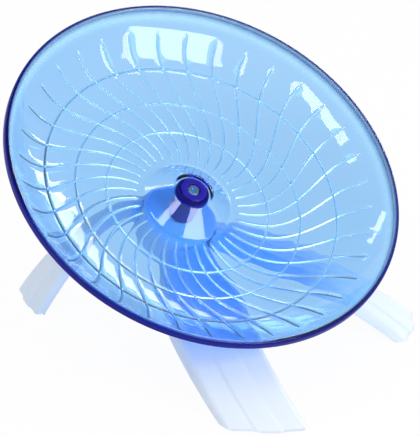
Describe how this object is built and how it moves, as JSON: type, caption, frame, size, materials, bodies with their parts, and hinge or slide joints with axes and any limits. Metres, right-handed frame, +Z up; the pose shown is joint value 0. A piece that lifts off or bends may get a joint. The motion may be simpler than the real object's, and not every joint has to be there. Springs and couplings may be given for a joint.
{
  "type": "small animal running disc",
  "caption": "Clear blue running dish with swirling grip ribs, spinning on ball bearings about a leaning axle over a clear stand on arched legs.",
  "frame": {"origin": "middle of the overall box, on the ground that the feet stand on", "axes": "+Z up, the disc leans towards -Y, +X to the right seen from the low side"},
  "size_m": [0.183, 0.1838, 0.1334],
  "materials": {
    "clear_blue_plastic": "clear moulded plastic, polished",
    "navy_plastic": "moulded plastic, polished",
    "clear_plastic": "clear moulded plastic, slightly frosted",
    "zinc_steel": "zinc plated",
    "bright_steel": "turned",
    "bearing_steel": "ground",
    "ball_steel": "polished",
    "white_nylon": "moulded nylon"
  },
  "bodies": {
    "base": {"stand_crown": "clear_plastic", "front_left_leg": "clear_plastic", "front_right_leg": "clear_plastic", "rear_leg": "clear_plastic", "leg_screws": "zinc_steel", "axle": "bright_steel", "axle_screw": "zinc_steel", "axle_washer": "zinc_steel", "thrust_collar": "white_nylon", "bearing_spacer": "bright_steel", "upper_bearing_inner_race": "bearing_steel", "lower_bearing_inner_race": "bearing_steel"},
    "disc": {"running_disc": "clear_blue_plastic", "hub_barrel": "navy_plastic", "hub_cap": "navy_plastic", "upper_bearing_outer_race": "bearing_steel", "upper_bearing_shields": "zinc_steel", "lower_bearing_outer_race": "bearing_steel", "lower_bearing_shields": "zinc_steel", "upper_bearing_balls": "ball_steel", "upper_bearing_cage": "white_nylon", "lower_bearing_balls": "ball_steel", "lower_bearing_cage": "white_nylon"}
  },
  "joints": [
    {"name": "disc_spin", "type": "hinge", "parent": "base", "child": "disc", "pos_m": [-0.00146, 0.01112, 0.064], "axis": [0, -0.5446, 0.8387], "continuous": true}
  ]
}
